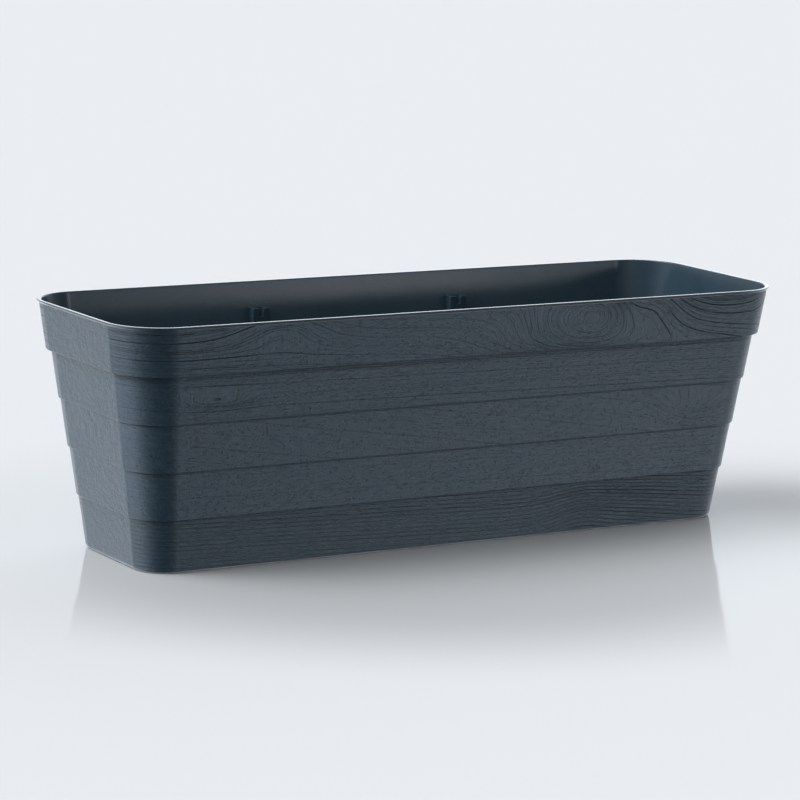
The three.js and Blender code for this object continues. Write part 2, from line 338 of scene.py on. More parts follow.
def inner_wall():
    """The inside from the rim down to the edge of the floor's raised panel."""
    rows = []
    for across, along in quarter_turn():
        z = HEIGHT - INNER_RIM_ROUND * across
        rows.append((Outline(0, WALL - INNER_RIM_ROUND * (1 - along), z), 0))
    set_in = 0
    for height, step in LAPS:
        z = height + WALL
        for across, along in quarter_turn(FILLET_STEPS):
            rim = z + LAP_FILLET * (1 - along)
            rows.append((Outline(taper_inset(rim) + set_in, WALL + LAP_FILLET * across, rim), 0))
        set_in += step
        for across, along in quarter_turn(FILLET_STEPS):
            drop = z - LAP_FILLET * across
            depth = WALL - LAP_FILLET * (1 - along)
            rows.append((Outline(taper_inset(drop) + set_in, depth, drop), 0))
    for across, along in quarter_turn():
        z = FLOOR + GUTTER_ROUND * (1 - along)
        rows.append((Outline(taper_inset(z) + ALL_STEPS, WALL + GUTTER_ROUND * across, z), 0))
    panel_edge = FOOT_RING - FLOOR
    rows.append((Outline(FOOT_INSET, panel_edge, FLOOR), 0))
    rows.append((Outline(FOOT_INSET, panel_edge, PANEL_TOP), 0))
    return rows


def shell_body():
    """The closed wall and floor. A face's material number is its board's, or 0 where plain."""
    bm = bmesh.new()
    rows = outer_wall() + inner_wall()
    last = rows[0][0]
    ring = first_ring(bm, last)
    underside = bmesh.ops.edgeloop_fill(bm, edges=ring)["faces"]
    verts = list(underside[0].verts)
    for outline, board in rows[1:]:
        ring, verts, faces = extrude_ring(bm, ring)
        outline.fit(verts, last)
        for face in faces:
            face.material_index = board
        last = outline
    bmesh.ops.edgeloop_fill(bm, edges=ring)
    bmesh.ops.dissolve_degenerate(bm, dist=NO_LENGTH, edges=bm.edges)
    return new_piece("moulded_shell", bm)


def cross_feet():
    bm = bmesh.new()
    reach = WIDTH / 2 - BEAD_REACH - FOOT_INSET - FOOT_RING / 2
    for i in range(CROSS_FEET):
        x = CROSS_FOOT_SPACING * (i - (CROSS_FEET - 1) / 2)
        low = Vector((x - CROSS_FOOT_WIDTH / 2, -reach, 0))
        high = Vector((x + CROSS_FOOT_WIDTH / 2, reach, FOOT_LIFT + FLOOR / 2))
        block(bm, low, high)
    return new_piece("cross_feet", bm)


def rod(bm, x, y, bottom, top, radius):
    made = bmesh.ops.create_cone(
        bm, cap_ends=True, segments=PLUG_STEPS, radius1=radius, radius2=radius,
        depth=top - bottom,
    )
    bmesh.ops.translate(bm, vec=(x, y, (top + bottom) / 2), verts=made["verts"])


def drain_places():
    for depth_name, y in [("front", -DRAIN_Y), ("back", DRAIN_Y)]:
        for side_name, x in [("left", -DRAIN_X), ("right", DRAIN_X)]:
            yield f"{depth_name}_{side_name}", x, y


def drain_cuts(name, radius, bottom, top):
    bm = bmesh.new()
    for place, x, y in drain_places():
        rod(bm, x, y, bottom, top, radius)
    return new_piece(name, bm)


def make_shell(materials):
    shell = shell_body()
    for material in materials:
        shell.data.materials.append(material)
    combine(shell, [cross_feet()], "UNION")
    holes = drain_cuts("drain_holes", DRAIN_RADIUS, -MM, PANEL_TOP + MM)
    seats = drain_cuts("plug_seats", PLUG_SEAT_RADIUS, PANEL_TOP - PLUG_SEAT_DEPTH, PANEL_TOP + MM)
    combine(shell, [seats, holes], "DIFFERENCE")
    dress(shell, "planter_shell", "box", "shell")
    smooth(shell)


# ---------------------------------------------------------------- the hanger sockets

SOCKET_ROUND_STEPS = 3
SOCKET_SHARP_ANGLE = math.radians(40)


def make_socket(node, name, material):
    """A slotted plate on two webs and a shelf, moulded on the inside of the back wall."""
    low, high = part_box(node)
    x, half = (low.x + high.x) / 2, (high.x - low.x) / 2
    web_out = half - SOCKET_WEB_INSET
    web_in = web_out - SOCKET_WEB
    slot = SOCKET_SLOT_WIDTH / 2
    columns = [-half, -web_out, -web_in, -slot, slot, web_in, web_out, half]
    rows = [low.z, low.z + SOCKET_SHELF, high.z - SOCKET_SLOT_DEPTH, high.z]
    bm = bmesh.new()
    grid = bmesh.ops.create_grid(
        bm, x_segments=len(columns) - 1, y_segments=len(rows) - 1, size=0.5,
    )["verts"]
    for vert in grid:
        column = round((vert.co.x + 0.5) * (len(columns) - 1))
        row = round((vert.co.y + 0.5) * (len(rows) - 1))
        vert.co = (x + columns[column], low.y, rows[row])
    bm.verts.ensure_lookup_table()

    def cells(depth, test):
        """The grid's faces at a depth that pass a test of how far out and how high they are."""
        found = []
        for face in bm.faces:
            middle = face.calc_center_median()
            if test(abs(middle.x - x), middle.z) and abs(middle.y - depth) < TOUCHING:
                found.append(face)
        return found

    gap = cells(low.y, lambda across, z: across < slot and z > rows[2])
    bmesh.ops.delete(bm, geom=gap, context="FACES")
    made = bmesh.ops.extrude_face_region(bm, geom=list(bm.faces))
    bmesh.ops.translate(bm, vec=(0, SOCKET_PLATE, 0), verts=verts_of(made))
    back = low.y + SOCKET_PLATE
    behind = cells(back, lambda across, z: z < rows[1] or web_in < across < web_out)
    made = bmesh.ops.extrude_face_region(bm, geom=behind)
    bmesh.ops.delete(bm, geom=behind, context="FACES")
    for vert in verts_of(made):
        wall = WIDTH / 2 - BEAD_REACH - taper_inset(vert.co.z) - WALL
        vert.co.y = wall + SOCKET_ROOT
    socket = new_piece(name, bm)
    rounds = socket.modifiers.new("rounds", "BEVEL")
    rounds.width = SOCKET_ROUND
    rounds.segments = SOCKET_ROUND_STEPS
    rounds.angle_limit = SOCKET_SHARP_ANGLE
    bake(socket)
    dress(socket, node, "box", "shell", material)
    smooth(socket)


# ---------------------------------------------------------------- the drainage plate

PLATE_INSET = taper_inset(PLATE_BOTTOM) + ALL_STEPS
PLATE_DEPTH = WALL + PLATE_CLEARANCE
SHEET_ROUND = 0.3 * MM


def plate_outline(z, depth=0.0):
    """The plate's outline, which leans out as the walls do."""
    return Outline(PLATE_INSET - (z - PLATE_BOTTOM) * TAPER, PLATE_DEPTH + depth, z)


def plate_holes(bm):
    """The outlines of the finger holes and of the rows of drainage slots, in the plate's top."""
    edges = []
    for x in (-FINGER_HOLE_X, FINGER_HOLE_X):
        made = bmesh.ops.create_circle(bm, segments=HOLE_STEPS, radius=FINGER_HOLE_RADIUS)
        verts = made["verts"]
        bmesh.ops.translate(bm, vec=(x, 0, PLATE_TOP), verts=verts)
        edges.extend({edge for vert in verts for edge in vert.link_edges})
    for row in range(SLOT_ROWS):
        y = SLOT_PITCH_Y * (row - (SLOT_ROWS - 1) / 2)
        for column in range(SLOT_COLUMNS):
            x = SLOT_PITCH_X * (column - (SLOT_COLUMNS - 1) / 2)
            if abs(y) < MM and abs(abs(x) - FINGER_HOLE_X) < SLOT_LENGTH:
                continue
            made = bmesh.ops.create_circle(bm, segments=SLOT_STEPS, radius=SLOT_WIDTH / 2)
            verts = made["verts"]
            for end in (-1, 1):
                near = [vert for vert in verts if vert.co.x * end > 0]
                shift = end * (SLOT_LENGTH - SLOT_WIDTH) / 2
                bmesh.ops.translate(bm, vec=(shift, 0, 0), verts=near)
            bmesh.ops.translate(bm, vec=(x, y, PLATE_TOP), verts=verts)
            edges.extend({edge for vert in verts for edge in vert.link_edges})
    return edges


def slotted_sheet():
    """The sheet with its slots and finger holes, and with every edge a little rounded."""
    bm = bmesh.new()
    outline = first_ring(bm, plate_outline(PLATE_TOP, SHEET_ROUND))
    bmesh.ops.triangle_fill(bm, edges=outline + plate_holes(bm), use_beauty=True, normal=(0, 0, 1))
    made = bmesh.ops.extrude_face_region(bm, geom=list(bm.faces))
    bmesh.ops.translate(bm, vec=(0, 0, PLATE_BOTTOM - PLATE_TOP), verts=verts_of(made))
    bmesh.ops.recalc_face_normals(bm, faces=bm.faces)
    edges = [edge for edge in bm.edges if edge.calc_face_angle(0) > 1]
    round_edges(bm, edges, SHEET_ROUND)
    return new_piece("drainage_tray", bm)


def plate_stiffeners():
    """Two ribs along the underside, and crossed legs that stand on the floor."""
    pieces = []
    rib_reach = LENGTH / 2 - BEAD_REACH - PLATE_INSET - PLATE_DEPTH - RIB_END_GAP
    inside = (PLATE_TOP + PLATE_BOTTOM) / 2
    for y in (-RIB_Y, RIB_Y):
        spans = [(0, rib_reach, RIB_WALL / 2, PLATE_BOTTOM - RIB_DEPTH)]
        for x in LEG_PLACES:
            spans.append((x, LEG_WIDTH / 2, RIB_WALL / 2, PLATE_FOOT))
            spans.append((x, RIB_WALL / 2, LEG_WIDTH / 2, PLATE_FOOT))
        for x, half_x, half_y, bottom in spans:
            bm = bmesh.new()
            low = Vector((x - half_x, y - half_y, bottom))
            block(bm, low, Vector((x + half_x, y + half_y, inside)))
            round_edges(bm, list(bm.edges), SHEET_ROUND)
            pieces.append(new_piece("stiffener", bm))
    return pieces


def make_plate(material):
    plate = slotted_sheet()
    combine(plate, plate_stiffeners(), "UNION")
    dress(plate, "drainage_plate", "plate", "plate", material)
    smooth(plate)


# ---------------------------------------------------------------- the drain plugs

PLUG_CLEARANCE = 0.3 * MM
PLUG_HEAD = 2.4 * MM
PLUG_STALK_RADIUS = 2.4 * MM
PLUG_KNOB_RADIUS = 3.6 * MM
PLUG_ROUND = 0.8 * MM
PLUG_CORNER_ROUND = PLUG_ROUND * 0.7
PLUG_CORNER_STEPS = 3


def make_plug(node, name, body, material):
    """A turned stopper: a stem, a round head in its seat, and a stalk with a knob to pull."""
    low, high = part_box(node)
    x, y = (low.x + high.x) / 2, (low.y + high.y) / 2
    head_radius = (high.x - low.x) / 2
    head_bottom = PANEL_TOP - PLUG_SEAT_DEPTH + PLUG_CLEARANCE
    head_top = head_bottom + PLUG_HEAD
    stem_radius = DRAIN_RADIUS - PLUG_CLEARANCE
    knob_bottom = high.z - 2 * PLUG_KNOB_RADIUS
    turned = [
        (0, low.z),
        (stem_radius, low.z),
        (stem_radius, head_bottom),
        (head_radius, head_bottom),
        (head_radius, head_top),
        (PLUG_STALK_RADIUS, head_top),
        (PLUG_STALK_RADIUS, knob_bottom + PLUG_ROUND),
        (PLUG_KNOB_RADIUS, knob_bottom + PLUG_KNOB_RADIUS - PLUG_ROUND),
        (PLUG_KNOB_RADIUS, high.z - PLUG_KNOB_RADIUS / 2),
        (PLUG_KNOB_RADIUS / 2, high.z),
        (0, high.z),
    ]
    bm = bmesh.new()
    verts = [bm.verts.new((x + radius, y, z)) for radius, z in turned]
    for start, end in zip(verts, verts[1:]):
        bm.edges.new((start, end))
    bmesh.ops.bevel(
        bm, geom=verts[1:-1], offset=PLUG_CORNER_ROUND, offset_type="OFFSET",
        segments=PLUG_CORNER_STEPS, profile=0.5, affect="VERTICES", material=-1,
    )
    bmesh.ops.spin(
        bm, geom=list(bm.verts) + list(bm.edges), cent=(x, y, 0), axis=(0, 0, 1),
        angle=math.tau, steps=PLUG_STEPS, use_merge=True,
    )
    bmesh.ops.remove_doubles(bm, verts=bm.verts, dist=TOUCHING)
    plug = new_piece(name, bm)
    dress(plug, node, body, "plug", material)
    smooth(plug)


# ---------------------------------------------------------------- shader tools


class Nodes:
    """Adds nodes to a tree. A value is a number, a vector, or the socket that it comes from."""

    def __init__(self, tree):
        self.tree = tree

    def add(self, kind, **settings):
        node = self.tree.nodes.new("ShaderNode" + kind)
        for name, value in settings.items():
            setattr(node, name, value)
        return node

    def feed(self, socket, value):
        if isinstance(value, bpy.types.NodeSocket):
            self.tree.links.new(value, socket)
        else:
            socket.default_value = value

    def math(self, operation, *values, clamp=False):
        node = self.add("Math", operation=operation, use_clamp=clamp)
        for socket, value in zip(node.inputs, values):
            self.feed(socket, value)
        return node.outputs[0]

    def vector(self, operation, *values, out="Vector"):
        node = self.add("VectorMath", operation=operation)
        for socket, value in zip(node.inputs, values):
            self.feed(socket, value)
        return node.outputs[out]

    def spread(self, value):
        """A number as a vector with three parts alike."""
        node = self.add("CombineXYZ")
        for socket in node.inputs:
            self.feed(socket, value)
        return node.outputs[0]

    def ramp(self, value, start, end, low=0.0, high=1.0, kind="SMOOTHSTEP"):
        node = self.add("MapRange", interpolation_type=kind)
        for name, given in [
            ("Value", value), ("From Min", start), ("From Max", end),
            ("To Min", low), ("To Max", high),
        ]:
            self.feed(node.inputs[name], given)
        return node.outputs["Result"]

    def noise(self, point, scale, detail=2.0, roughness=0.5, stretch=(1, 1, 1)):
        if stretch != (1, 1, 1):
            point = self.vector("MULTIPLY", point, stretch)
        node = self.add("TexNoise")
        self.feed(node.inputs["Vector"], point)
        node.inputs["Scale"].default_value = scale
        node.inputs["Detail"].default_value = detail
        node.inputs["Roughness"].default_value = roughness
        return node.outputs["Fac"]

    def mix_color(self, factor, first, second):
        node = self.add("Mix", data_type="RGBA")
        self.feed(node.inputs["Factor"], factor)
        self.feed(node.inputs["A"], first)
        self.feed(node.inputs["B"], second)
        return node.outputs["Result"]

    def group(self, tree, **values):
        node = self.add("Group", node_tree=tree)
        for name, value in values.items():
            self.feed(node.inputs[name.replace("_", " ")], value)
        return node.outputs


def new_group(name, takes, gives):
    """A shader node group with named inputs and outputs. Returns its tools and both ends."""
    tree = bpy.data.node_groups.new(name, "ShaderNodeTree")
    for kind, names in (("INPUT", takes), ("OUTPUT", gives)):
        for socket, socket_type in names.items():
            tree.interface.new_socket(
                socket, in_out=kind, socket_type="NodeSocket" + socket_type,
            )
    nodes = Nodes(tree)
    inputs = tree.nodes.new("NodeGroupInput")
    outputs = tree.nodes.new("NodeGroupOutput")
    return tree, nodes, inputs.outputs, outputs.inputs


# ---------------------------------------------------------------- effects in several materials

# Noises: how fine each is for each metre, how many finer layers it has and how strong they are,
# and how it is drawn out along the axes
WEAR = dict(scale=40.0, detail=4.0, roughness=0.6, stretch=(1, 1, 2.5))
FIBRES = dict(scale=900.0, detail=4.0, roughness=0.65, stretch=(0.15, 0.15, 1))
PORES = dict(scale=850.0, detail=2.0, stretch=(0.3, 0.3, 1))
SPECKS = dict(scale=170.0, detail=5.0, roughness=0.7)
GRIT = dict(scale=650.0, detail=2.0, roughness=0.6)
PEEL = dict(scale=1100.0, detail=2.0, roughness=0.6)
CLOUDS = dict(scale=30.0, detail=4.0, roughness=0.6)

# Where in a noise's range an effect begins and where it is full
RING_WEAR = (0.34, 0.56)
FINE_WEAR = (0.66, 0.42)
PORE_RANGE = (0.54, 0.70)
FIBRE_RANGE = (0.42, 0.72)
GRIT_RANGE = (0.5, 0.7)
SPECK_RANGE = (0.5, 0.72)

# The grooves round the rings: their width, the share of it that is full depth, the least of a
# groove that wear leaves, and by how much one groove may be weaker than another
RING_WIDTH = 0.75 * MM
FINE_WIDTH = 0.6 * MM
GROOVE_FLOOR = 0.15
WORN_AWAY = 0.2
GROOVE_SPREAD = 0.5
FINE_SEED = 50.5

# How many fine rings there are to one strong ring, and how far apart strong rings mostly lie
FINE_RINGS = 2.5
RING_PITCH = 6 * MM

# How deep grit is, how deep a pore is beside a fibre, how much a fine groove's painted shade
# shows beside a strong one's, and how much grit shows beside fibres
GRIT_DEPTH = 0.1 * MM
PORE_DEPTH = 0.7
FINE_SHADE = 0.5
GRIT_TINT = 0.7


def knot_group():
    """Lifts the count of rings round a knot, and adds to how steeply it rises there."""
    tree, nodes, given, made = new_group(
        "knot",
        {"Rings": "Float", "Slope": "Vector", "Point": "Vector", "Centre": "Vector",
         "Reach": "Vector", "Push": "Float"},
        {"Rings": "Float", "Slope": "Vector"},
    )
    away = nodes.vector("SUBTRACT", given["Point"], given["Centre"])
    away = nodes.vector("DIVIDE", away, given["Reach"])
    squared = nodes.vector("DOT_PRODUCT", away, away, out="Value")
    fall = nodes.math("EXPONENT", nodes.math("MULTIPLY", squared, -1.0))
    lift = nodes.math("MULTIPLY", fall, given["Push"])
    nodes.feed(made["Rings"], nodes.math("ADD", given["Rings"], lift))
    steep = nodes.vector("DIVIDE", away, given["Reach"])
    twice = nodes.math("MULTIPLY", lift, -2.0)
    steep = nodes.vector("MULTIPLY", steep, nodes.spread(twice))
    nodes.feed(made["Slope"], nodes.vector("ADD", given["Slope"], steep))
    return tree


def groove_group():
    """Grooves where the count of rings is a whole number, each with its own strength."""
    tree, nodes, given, made = new_group(
        "groove",
        {"Rings": "Float", "Slope": "Float", "Width": "Float", "Seed": "Float"},
        {"Line": "Float"},
    )
    shifted = nodes.math("ADD", given["Rings"], 0.5)
    across = nodes.math("SUBTRACT", nodes.math("FRACT", shifted), 0.5)
    distance = nodes.math("DIVIDE", nodes.math("ABSOLUTE", across), given["Slope"])
    near = nodes.math("DIVIDE", distance, given["Width"])
    line = nodes.ramp(near, GROOVE_FLOOR, 1.0, 1.0, 0.0)
    seat = nodes.add("TexWhiteNoise", noise_dimensions="1D")
    ring = nodes.math("FLOOR", shifted)
    nodes.feed(seat.inputs["W"], nodes.math("ADD", ring, given["Seed"]))
    chance = seat.outputs["Value"]
    strength = nodes.math("MULTIPLY_ADD", chance, GROOVE_SPREAD, 1 - GROOVE_SPREAD)
    nodes.feed(made["Line"], nodes.math("MULTIPLY", line, strength))
    return tree


def wood_grain_group(groove):
    """Embossed wood: strong and fine grooves round its rings, with fibres and pores between."""
    tree, nodes, given, made = new_group(
        "wood_grain",
        {"Point": "Vector", "Rings": "Float", "Slope": "Vector", "Seed": "Float",
         "Ring Depth": "Float", "Fine Depth": "Float", "Fibre Depth": "Float",
         "Speck Depth": "Float"},
        {"Height": "Float", "Ring": "Float", "Fibre": "Float", "Pore": "Float"},
    )
    slope = nodes.vector("LENGTH", given["Slope"], out="Value")
    strong = nodes.group(
        groove, Rings=given["Rings"], Slope=slope, Width=RING_WIDTH, Seed=given["Seed"],
    )["Line"]
    fine_rings = nodes.math("MULTIPLY", given["Rings"], FINE_RINGS)
    fine = nodes.group(
        groove, Rings=fine_rings, Slope=nodes.math("MULTIPLY", slope, FINE_RINGS),
        Width=FINE_WIDTH, Seed=nodes.math("ADD", given["Seed"], FINE_SEED),
    )["Line"]
    worn = nodes.noise(given["Point"], **WEAR)
    strong = nodes.math("MULTIPLY", strong, nodes.ramp(worn, *RING_WEAR, WORN_AWAY, 1.0))
    fine = nodes.math("MULTIPLY", fine, nodes.ramp(worn, *FINE_WEAR, WORN_AWAY, 1.0))
    split = nodes.add("SeparateXYZ")
    nodes.feed(split.inputs[0], given["Point"])
    # Fibres and pores bend with the rings, which they are laid out along
    lay = nodes.add("CombineXYZ")
    nodes.feed(lay.inputs["X"], split.outputs["X"])
    nodes.feed(lay.inputs["Y"], split.outputs["Y"])
    nodes.feed(lay.inputs["Z"], nodes.math("MULTIPLY", given["Rings"], RING_PITCH))
    fibre = nodes.noise(lay.outputs[0], **FIBRES)
    pores = nodes.ramp(nodes.noise(lay.outputs[0], **PORES), *PORE_RANGE)
    specks = nodes.noise(given["Point"], **SPECKS)
    grit = nodes.noise(given["Point"], **GRIT)
    height = nodes.math("MULTIPLY", strong, nodes.math("MULTIPLY", given["Ring Depth"], -1.0))
    dip = nodes.math("MULTIPLY", given["Fine Depth"], -1.0)
    height = nodes.math("MULTIPLY_ADD", fine, dip, height)
    height = nodes.math("MULTIPLY_ADD", fibre, given["Fibre Depth"], height)
    height = nodes.math("MULTIPLY_ADD", specks, given["Speck Depth"], height)
    pit = nodes.math("MULTIPLY", given["Fibre Depth"], -PORE_DEPTH)
    height = nodes.math("MULTIPLY_ADD", pores, pit, height)
    height = nodes.math("MULTIPLY_ADD", grit, GRIT_DEPTH, height)
    nodes.feed(made["Height"], height)
    # Ring: the grooves' strength, which the boards use to paint shade into them
    nodes.feed(made["Ring"], nodes.math("MULTIPLY_ADD", fine, FINE_SHADE, strong))
    pale = nodes.ramp(fibre, *FIBRE_RANGE)
    pale = nodes.math("MULTIPLY_ADD", nodes.ramp(grit, *GRIT_RANGE), GRIT_TINT, pale)
    nodes.feed(made["Fibre"], pale)
    nodes.feed(made["Pore"], pores)
    return tree


def moulded_skin_group():
    """The matt skin of moulded plastic: a fine peel, and cloudy marks from the mould."""
    tree, nodes, given, made = new_group(
        "moulded_skin",
        {"Point": "Vector", "Peel": "Float", "Clouds": "Float"},
        {"Height": "Float", "Cloud": "Float", "Speck": "Float"},
    )
    peel = nodes.noise(given["Point"], **PEEL)
    nodes.feed(made["Height"], nodes.math("MULTIPLY", peel, given["Peel"]))
    cloud = nodes.math("SUBTRACT", nodes.noise(given["Point"], **CLOUDS), 0.5)
    nodes.feed(made["Cloud"], nodes.math("MULTIPLY", cloud, given["Clouds"]))
    nodes.feed(made["Speck"], nodes.ramp(peel, *SPECK_RANGE))
    return tree


# ---------------------------------------------------------------- the plastics

SHELL_BLUE = (0.033, 0.058, 0.078, 1)
SHELL_DEEP = (0.021, 0.036, 0.049, 1)
SHELL_PALE = (0.055, 0.093, 0.123, 1)
# The tone that the grooves are darkened towards: painted shade in the grain's hollows
GROOVE_SHADE_TONE = (0.009, 0.015, 0.020, 1)
SHELL_GLOSS = 0.285
INSIDE_BLUE = (0.036, 0.062, 0.080, 1)
PLATE_GREY = (0.022, 0.025, 0.028, 1)
PLATE_DEEP = (0.010, 0.012, 0.014, 1)
PLUG_BLACK = (0.012, 0.012, 0.013, 1)
PLUG_DUST = (0.026, 0.026, 0.027, 1)

# Roughness: each plastic's own, how far its clouds change it, and how much grooves add
BOARD_ROUGH = 0.34
INSIDE_ROUGH = 0.2
PLATE_ROUGH = 0.45
PLUG_ROUGH = 0.6
BOARD_ROUGH_SPREAD = 0.3
PLAIN_ROUGH_SPREAD = 0.15
GROOVE_ROUGH = 0.25

# The moulded skin: how deep its peel is, how strong its clouds are and where they turn pale
PEEL_DEPTH = 9e-6
INSIDE_PEEL_DEPTH = 25e-6
CLOUDINESS = 0.4
CLOUD_RANGE = (-0.3, 0.1)

# How far specks, fibres and pores move the colour towards the tone that they have
SPECK_TINT = 0.3
FIBRE_TINT = 0.6
PORE_TINT = 0.5


def new_material(name):
    material = bpy.data.materials.new(name)
    material.use_nodes = True
    material.node_tree.nodes.clear()
    nodes = Nodes(material.node_tree)
    shader = nodes.add("BsdfPrincipled")
    output = nodes.add("OutputMaterial")
    nodes.feed(output.inputs["Surface"], shader.outputs[0])
    point = nodes.add("TexCoord").outputs["Object"]
    return material, nodes, shader.inputs, point


def bump(nodes, height):
    node = nodes.add("Bump")
    node.inputs["Strength"].default_value = 1.0
    node.inputs["Distance"].default_value = 1.0
    nodes.feed(node.inputs["Height"], height)
    return node.outputs["Normal"]


def moulded_plastic(name, skin, tones, rough, peel=PEEL_DEPTH):
    """A plain moulded plastic in three tones: its own, a deeper one and a paler one."""
    own, deep, pale = tones
    material, nodes, shader, point = new_material(name)
    made = nodes.group(skin, Point=point, Peel=peel, Clouds=CLOUDINESS)
    color = nodes.mix_color(nodes.ramp(made["Cloud"], *CLOUD_RANGE), deep, own)
    color = nodes.mix_color(nodes.math("MULTIPLY", made["Speck"], SPECK_TINT), color, pale)
    nodes.feed(shader["Base Color"], color)
    rough = nodes.math("MULTIPLY_ADD", made["Cloud"], PLAIN_ROUGH_SPREAD, rough)
    nodes.feed(shader["Roughness"], rough)
    nodes.feed(shader["Normal"], bump(nodes, made["Height"]))
    return material


# ---------------------------------------------------------------- the boards


class Board:
    """How the wood of one board lies.

    Its rings are counted from a start in the board's middle, with so many more for each 100 mm
    along it and each 10 mm up, and knots push the count up or down. The grooves are deeper in
    the places named by figures. All places and sizes are in mm.
    """

    def __init__(self, name, middle, start, along, up, ring_depth, fine_depth, knots, figures=()):
        self.name = name
        self.middle = middle
        self.start = start
        self.along = along
        self.up = up
        self.ring_depth = ring_depth
        self.fine_depth = fine_depth
        self.knots = knots
        self.figures = figures


# A knot is its centre, its reach and how many rings it adds. A figure is the same, with how
# much deeper the grooves are there.
BOARDS = [
    Board("rim_board", 170, 2.2, 0.43, 1.57, 0.15, 0.08, [
        ((108, -94, 177), (57, 60, 17), 6.4),
        ((99, -94, 157), (83, 60, 16), 5.4),
        ((230, -94, 142), (119, 60, 20), 5.8),
        ((140, -94, 185), (20, 60, 30), -2.5),
        ((-165, -94, 185), (44, 60, 17), -2.6),
        ((233, -94, 210), (65, 60, 25), -15),
        ((-70, 94, 172), (66, 60, 18), 6.5),
        ((170, 94, 160), (80, 60, 17), -4.5),
    ], [
        ((-225, -94, 170), (60, 40, 40), 0.45),
        ((98, -94, 172), (60, 50, 40), -0.55),
        ((-60, -94, 170), (120, 60, 60), -0.75),
        ((165, -94, 153), (38, 60, 9), -0.8),
        ((215, -94, 170), (60, 50, 40), 0.4),
    ]),
    Board("second_board", 130, 1.0, 0.2, 1.2, 0.05, 0.05, [
        ((-215, -90, 130), (30, 40, 6), 1.4),
        ((120, 90, 134), (60, 40, 12), 3.0),
    ], [((-203, -90, 134), (24, 40, 9), 2.2)]),
    Board("third_board", 95, 1.0, 1.4, 0.9, 0.04, 0.04, [
        ((-290, 10, 97), (60, 34, 12), 3.0),
        ((215, -88, 96), (26, 40, 14), 1.6),
        ((-40, 88, 92), (70, 40, 12), 3.0),
    ]),
    Board("fourth_board", 60, 1.0, 0.3, 1.2, 0.03, 0.03, [
        ((60, 84, 60), (50, 40, 12), 3.0),
    ]),
    Board("foot_board", 20, 1.0, 0.95, 3.0, 0.09, 0.05, [
        ((118, -75, 8), (28, 60, 40), -2.0),
        ((155, -75, 8), (60, 60, 40), -2.4),
        ((-150, 75, 14), (60, 60, 26), -3.0),
    ], [((170, -75, 14), (60, 60, 40), 0.8)]),
]
DEEPEST_RING = BOARDS[0].ring_depth
TOPS = [HEIGHT] + [height for height, step in LAPS]

# How the long side of each board draws in under the one above it: over what width, and how deep
SEAMS = [(1 * MM, 0.0), (4 * MM, 0.5 * MM)] + [(1.3 * MM, 0.2 * MM)] * 3

# How many rings the grooves sway by, from a slow noise and a share of a quick one
SWAY = 0.25
SLOW_SWAY = dict(scale=1.0, stretch=(5, 5, 14))
QUICK_SWAY = dict(scale=1.0, stretch=(24, 24, 90))
QUICK_SHARE = 0.5
SWAY_MIDDLE = SWAY * 0.75

# How deep fibres are, and how far apart the seeds of the boards' grooves are
FIBRE_DEPTH = 0.14 * MM
SEED_STEP = 7.3

# The ends, which have a share of the long sides' grain and specks of their own, and where they
# begin: the corner's start in plan, which moves with the height as the corner's radius does
END_GRAIN = 0.15
END_SPECKS = 0.9 * MM
CORNER_GROWTH = (RIM_CORNER - FOOT_CORNER) / HEIGHT
END_EDGE = (LENGTH - WIDTH) / 2 + FOOT_CORNER
END_BLEND = 6 * MM


def place_of(spot):
    """The inputs of the knot group that place a knot or a figure, in metres."""
    centre, reach, push = spot
    return {
        "Centre": [MM * part for part in centre],
        "Reach": [MM * part for part in reach],
        "Push": push,
    }


